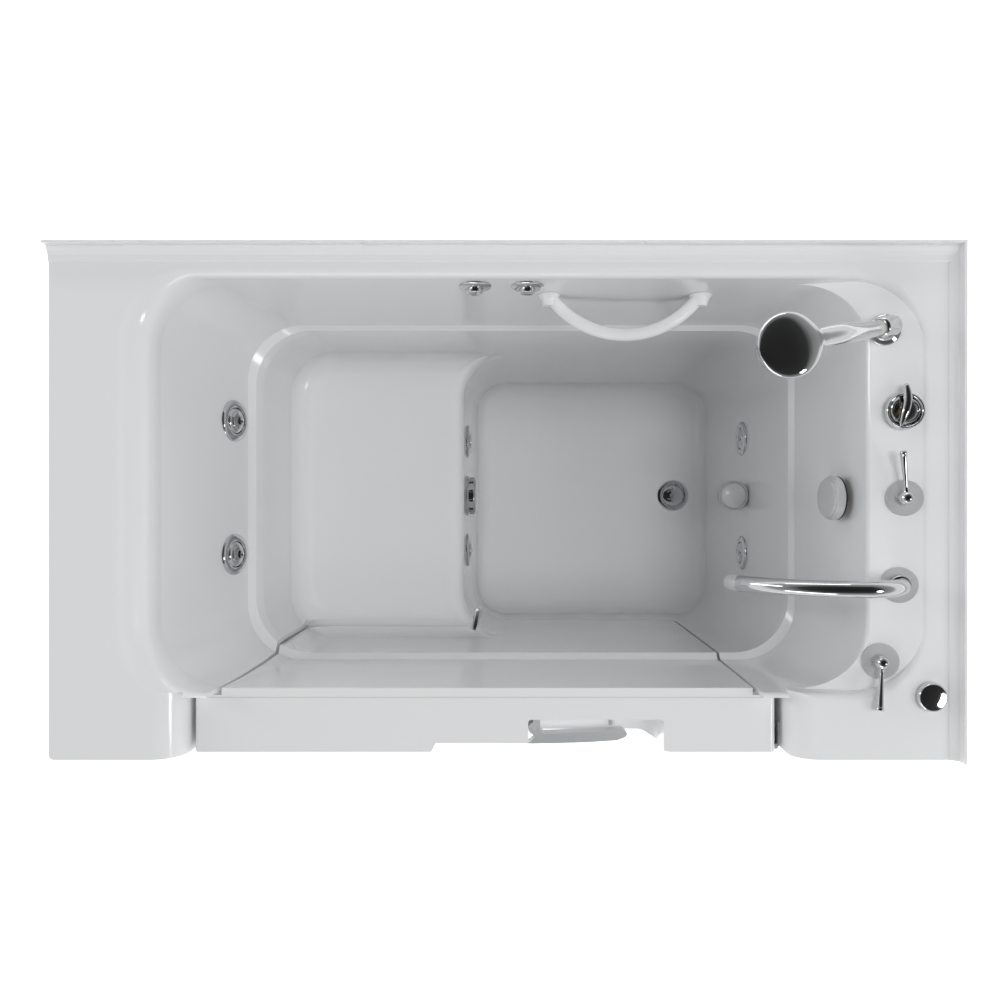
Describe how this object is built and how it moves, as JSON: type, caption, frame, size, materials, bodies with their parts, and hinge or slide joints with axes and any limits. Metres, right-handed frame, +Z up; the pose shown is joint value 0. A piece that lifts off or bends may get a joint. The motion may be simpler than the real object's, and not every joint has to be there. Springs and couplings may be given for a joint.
{
  "type": "walk-in bathtub",
  "caption": "Walk-in jetted bathtub with an outward-swinging L-shaped door, moulded seat, deep footwell, grab bar, deck taps, spout, hand shower and wall flange on a levelled frame.",
  "frame": {"origin": "middle of the footprint on the floor, directly under the middle of the tub", "axes": "+X towards the tap and drain end, +Y towards the wall behind the tub, +Z up"},
  "size_m": [1.31, 0.742, 1.1483],
  "materials": {
    "acrylic": "white gloss acrylic",
    "chrome": "polished chrome plate",
    "galvanised_steel": "plain galvanised steel",
    "grey_plastic": "moulded dark grey plastic",
    "motor_paint": "dark painted casing",
    "pipe_plastic": "off-white pipe plastic",
    "brass": "plain cast brass",
    "copper": "plain copper tube",
    "wood": "sealed plywood",
    "lens": "frosted light lens",
    "rubber": "black rubber"
  },
  "bodies": {
    "tub": {"tub_shell": "acrylic", "tile_flange": "acrylic", "front_access_panel": "acrylic", "end_access_panel": "acrylic", "panel_screws": "chrome", "base_frame": "galvanised_steel", "frame_posts": "galvanised_steel", "levelling_feet": "grey_plastic", "foot_lock_nuts": "galvanised_steel", "equipment_tray": "wood", "grab_bar": "acrylic", "jet_bodies": "grey_plastic", "jet_rings": "chrome", "suction_body": "grey_plastic", "suction_cover": "chrome", "light_housing": "chrome", "light_lens": "lens", "drain_ring": "chrome", "waste_pipes": "pipe_plastic", "overflow_body": "grey_plastic", "drain_cable": "rubber", "pump_volute": "grey_plastic", "pump_motor": "motor_paint", "suction_pipe": "pipe_plastic", "water_manifold": "pipe_plastic", "air_lines": "pipe_plastic", "control_box": "grey_plastic", "button_rings": "chrome", "valve_bodies": "brass", "cover_plates": "chrome", "mixing_pipes": "copper", "spout": "chrome", "shower_holder": "chrome", "air_control_body": "grey_plastic", "latch_keepers": "chrome", "hinge_tub_leaf": "chrome", "hinge_pin": "chrome"},
    "door": {"door_outer_panel": "acrylic", "door_inner_panel": "acrylic", "door_frame": "galvanised_steel", "door_seal": "rubber", "lever_bracket": "chrome", "hinge_door_leaf": "chrome"},
    "door_lever": {"door_lever": "chrome"},
    "door_bolts": {"latch_bolts": "galvanised_steel"},
    "hot_tap": {"hot_lever": "chrome"},
    "cold_tap": {"cold_lever": "chrome"},
    "diverter": {"diverter_dial": "chrome"},
    "air_knob": {"air_control_knob": "chrome"},
    "overflow_knob": {"overflow_knob": "chrome"},
    "drain_plug": {"drain_plug": "chrome"},
    "pump_button": {"pump_button": "chrome"},
    "heater_button": {"heater_button": "chrome"},
    "hand_shower": {"hand_shower": "chrome"},
    "back_jet_rear": {"back_jet_face_rear": "chrome"},
    "back_jet_front": {"back_jet_face_front": "chrome"},
    "riser_jet_rear": {"riser_jet_face_rear": "chrome"},
    "riser_jet_front": {"riser_jet_face_front": "chrome"},
    "end_jet_rear": {"end_jet_face_rear": "chrome"},
    "end_jet_front": {"end_jet_face_front": "chrome"}
  },
  "joints": [
    {"name": "door_swing", "type": "hinge", "parent": "tub", "child": "door", "pos_m": [0.408, -0.367, 0.6], "axis": [0, 0, 1], "range_deg": [0, 105]},
    {"name": "door_lever_turn", "type": "hinge", "parent": "door", "child": "door_lever", "pos_m": [0.046, -0.344, 0.919], "axis": [0, 0, -1], "range_deg": [0, 36]},
    {"name": "door_bolt_slide", "type": "slide", "parent": "door", "child": "door_bolts", "axis": [-1, 0, 0], "range_m": [-0.0106, 0]},
    {"name": "hot_turn", "type": "hinge", "parent": "tub", "child": "hot_tap", "pos_m": [0.57692, 0.006, 1.01162], "axis": [-0.2079, 0, 0.9781], "range_deg": [0, 90]},
    {"name": "cold_turn", "type": "hinge", "parent": "tub", "child": "cold_tap", "pos_m": [0.54492, -0.231, 1.00482], "axis": [0.2079, 0, -0.9781], "range_deg": [0, 90]},
    {"name": "diverter_turn", "type": "hinge", "parent": "tub", "child": "diverter", "pos_m": [0.57634, 0.131, 1.00945], "axis": [-0.2079, 0, 0.9781], "range_deg": [0, 180]},
    {"name": "air_control_turn", "type": "hinge", "parent": "tub", "child": "air_knob", "pos_m": [0.612, -0.279, 1.016], "axis": [0, 0, 1], "range_deg": [-135, 135]},
    {"name": "overflow_turn", "type": "hinge", "parent": "tub", "child": "overflow_knob", "pos_m": [0.52315, 0.006, 0.92], "axis": [-0.9947, 0, 0.1028], "range_deg": [0, 90]},
    {"name": "drain_plug_lift", "type": "slide", "parent": "tub", "child": "drain_plug", "axis": [0, 0, 1], "range_m": [0, 0.008]},
    {"name": "back_jet_rear_turn", "type": "hinge", "parent": "tub", "child": "back_jet_rear", "pos_m": [-0.45584, 0.137, 0.788], "axis": [0.9455, 0, 0.3256], "range_deg": [-90, 90]},
    {"name": "back_jet_front_turn", "type": "hinge", "parent": "tub", "child": "back_jet_front", "pos_m": [-0.45584, -0.089, 0.788], "axis": [0.9455, 0, 0.3256], "range_deg": [-90, 90]},
    {"name": "riser_jet_rear_turn", "type": "hinge", "parent": "tub", "child": "riser_jet_rear", "pos_m": [-0.07519, 0.127, 0.41], "axis": [0.9986, 0, 0.0523], "range_deg": [-90, 90]},
    {"name": "riser_jet_front_turn", "type": "hinge", "parent": "tub", "child": "riser_jet_front", "pos_m": [-0.07519, -0.103, 0.41], "axis": [0.9986, 0, 0.0523], "range_deg": [-90, 90]},
    {"name": "end_jet_rear_turn", "type": "hinge", "parent": "tub", "child": "end_jet_rear", "pos_m": [0.49525, 0.13, 0.46], "axis": [-1, 0, 0.007], "range_deg": [-90, 90]},
    {"name": "end_jet_front_turn", "type": "hinge", "parent": "tub", "child": "end_jet_front", "pos_m": [0.49525, -0.106, 0.46], "axis": [-1, 0, 0.007], "range_deg": [-90, 90]},
    {"name": "pump_button_press", "type": "slide", "parent": "tub", "child": "pump_button", "axis": [0, 0.9974, -0.0715], "range_m": [0, 0.004], "stiffness_N_per_m": 400},
    {"name": "heater_button_press", "type": "slide", "parent": "tub", "child": "heater_button", "axis": [0, 0.9974, -0.0715], "range_m": [0, 0.004], "stiffness_N_per_m": 400},
    {"name": "hand_shower_lift", "type": "slide", "parent": "tub", "child": "hand_shower", "axis": [-0.8261, -0.213, 0.5217], "range_m": [0, 0.12]}
  ],
  "couplings": [
    {"joint": "door_bolt_slide", "follows": "door_lever_turn", "m_per_rad": -0.01687},
    {"joint": "drain_plug_lift", "follows": "overflow_turn", "m_per_rad": 0.005093}
  ]
}
